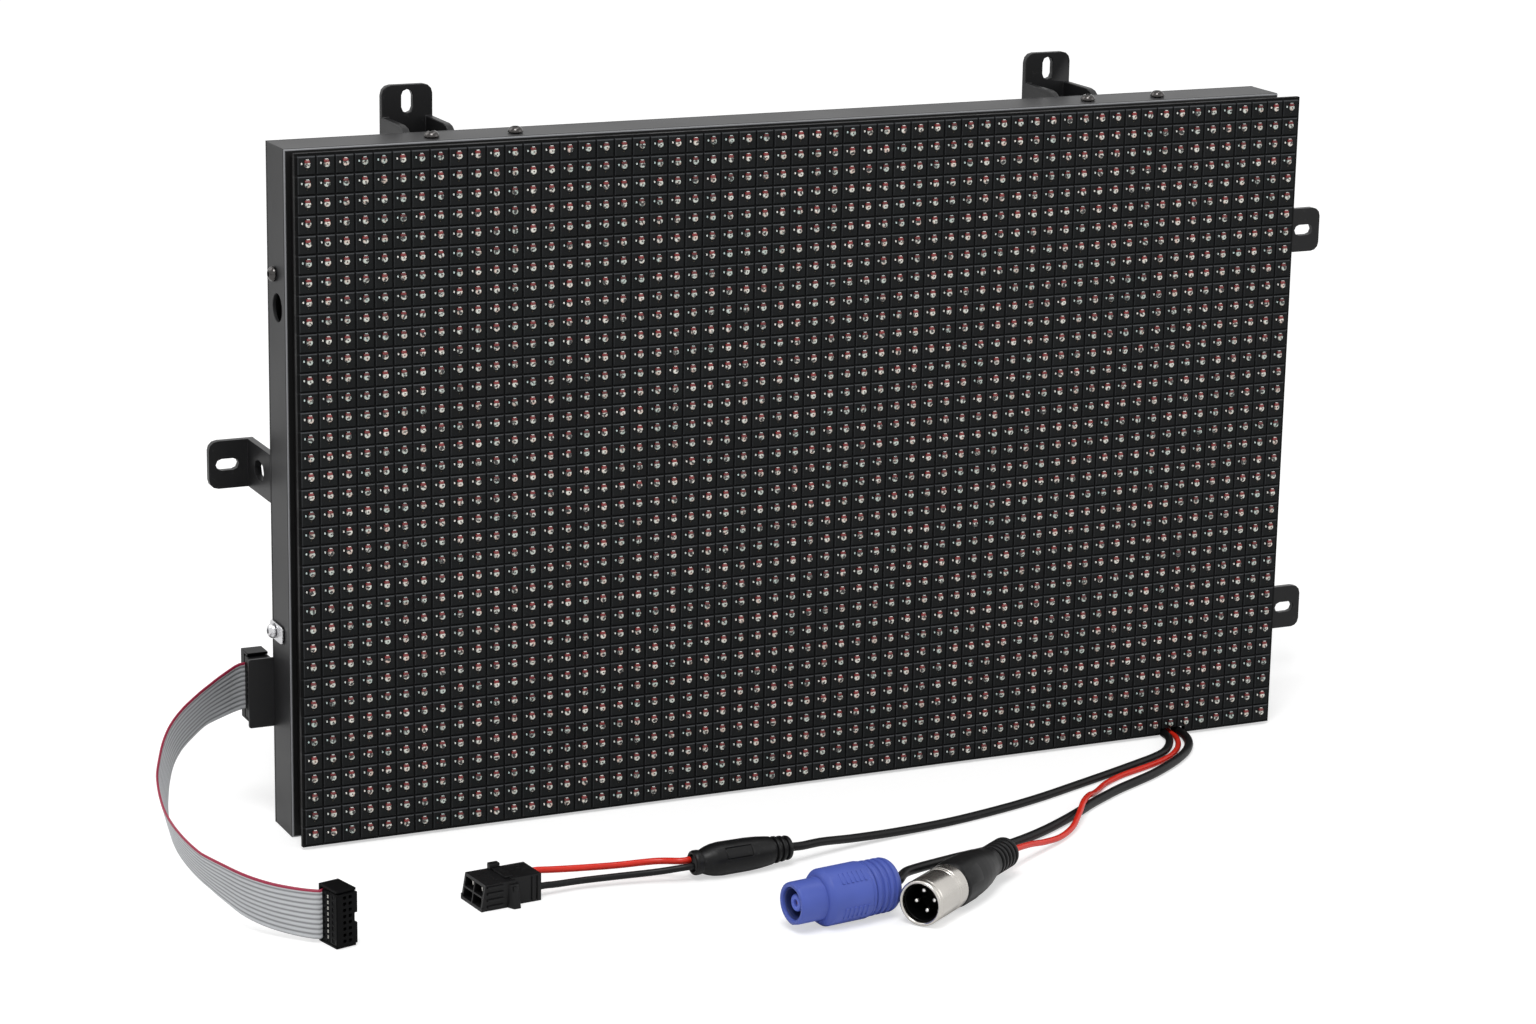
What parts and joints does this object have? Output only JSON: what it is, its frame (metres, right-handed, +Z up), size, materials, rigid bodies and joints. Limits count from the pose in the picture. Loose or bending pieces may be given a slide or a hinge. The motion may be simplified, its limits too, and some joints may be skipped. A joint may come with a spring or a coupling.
{
  "type": "led_matrix_panel",
  "caption": "Wall-mounted colour LED matrix sign panel in a shallow black steel housing with slotted brackets, ribbon data lead and round power and signal leads",
  "frame": {"origin": "centre of the housing's bottom face, on the floor", "axes": "+X to the panel's right seen from the front, +Y towards the wall, +Z up; the LEDs face -Y"},
  "size_m": [0.5936, 0.2558, 0.3051],
  "materials": {
    "mask_plastic": "fine matt, moulded",
    "board_green": "lacquered board",
    "carrier_plastic": "matt moulded",
    "powder_coat": "satin powder coat",
    "bracket_steel": "satin powder coat",
    "black_screw": "black nickel, polished",
    "bright_tin": "bright plated",
    "nickel": "satin nickel",
    "plug_plastic": "satin moulded",
    "cable_rubber": "satin",
    "red_sheath": "satin sheath",
    "ribbon_grey": "satin sheath",
    "plug_blue": "satin moulded"
  },
  "bodies": {
    "root": {"front_mask": "mask_plastic", "led_board": "board_green", "receiving_card": "board_green", "module_carrier": "carrier_plastic", "housing_frame": "powder_coat", "rear_cover": "powder_coat", "top_bracket_left": "bracket_steel", "top_bracket_right": "bracket_steel", "left_bracket": "bracket_steel", "right_bracket_upper": "bracket_steel", "right_bracket_lower": "bracket_steel", "frame_top_screw_1": "black_screw", "frame_top_screw_2": "black_screw", "frame_top_screw_3": "black_screw", "frame_top_screw_4": "black_screw", "frame_side_screw": "black_screw", "bracket_screw_top_left_1": "black_screw", "bracket_screw_top_left_2": "black_screw", "bracket_screw_top_right_1": "black_screw", "bracket_screw_top_right_2": "black_screw", "bracket_screw_left_1": "black_screw", "bracket_screw_left_2": "black_screw", "bracket_screw_right_upper_1": "black_screw", "bracket_screw_right_upper_2": "black_screw", "bracket_screw_right_lower_1": "black_screw", "bracket_screw_right_lower_2": "black_screw", "earth_clip": "bright_tin", "earth_screw": "bright_tin", "power_supply": "bright_tin", "signal_plug_shell": "nickel", "signal_plug_pin_1": "nickel", "signal_plug_pin_2": "nickel", "signal_plug_pin_3": "nickel", "signal_plug_pin_4": "nickel", "data_header": "plug_plastic", "ribbon_plug_panel_body": "plug_plastic", "ribbon_plug_panel_cap": "plug_plastic", "ribbon_plug_free_body": "plug_plastic", "ribbon_plug_free_cap": "plug_plastic", "ribbon_plug_free_relief": "plug_plastic", "signal_plug_insert": "plug_plastic", "dc_plug_housing": "plug_plastic", "cable_grommet": "cable_rubber", "power_cable": "cable_rubber", "dc_cable": "cable_rubber", "dc_wire_black": "cable_rubber", "splitter_boot": "cable_rubber", "signal_plug_boot": "cable_rubber", "signal_cable": "red_sheath", "dc_wire_red": "red_sheath", "ribbon_cable": "ribbon_grey", "power_plug_nut": "plug_blue", "power_plug_shell": "plug_blue", "power_plug_insert": "plug_blue"}
  },
  "joints": []
}
